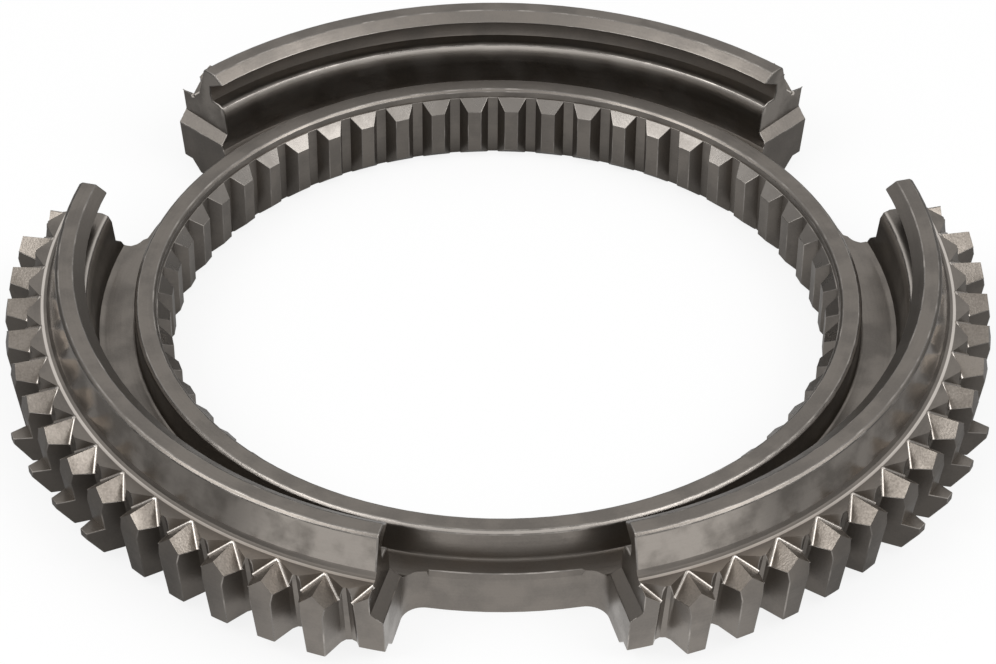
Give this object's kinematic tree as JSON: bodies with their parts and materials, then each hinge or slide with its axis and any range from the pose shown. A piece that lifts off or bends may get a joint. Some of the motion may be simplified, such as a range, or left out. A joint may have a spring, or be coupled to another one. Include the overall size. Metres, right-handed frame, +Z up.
{
  "type": "synchronizer ring",
  "caption": "Toothed synchronizer ring with a splined hub, a dished web, a ground cone flange and pointed dog teeth broken by three windows in the rim.",
  "frame": {"origin": "centre of the ring in the plane of its flat underside", "axes": "+Z up the ring's axis from the underside to the flange; -Y through the middle of one window"},
  "size_m": [0.1946, 0.1917, 0.026],
  "materials": {
    "steel": "dark phosphated steel, satin, with bright worn edges"
  },
  "bodies": {
    "root": {"synchronizer_ring": "steel"}
  },
  "joints": []
}
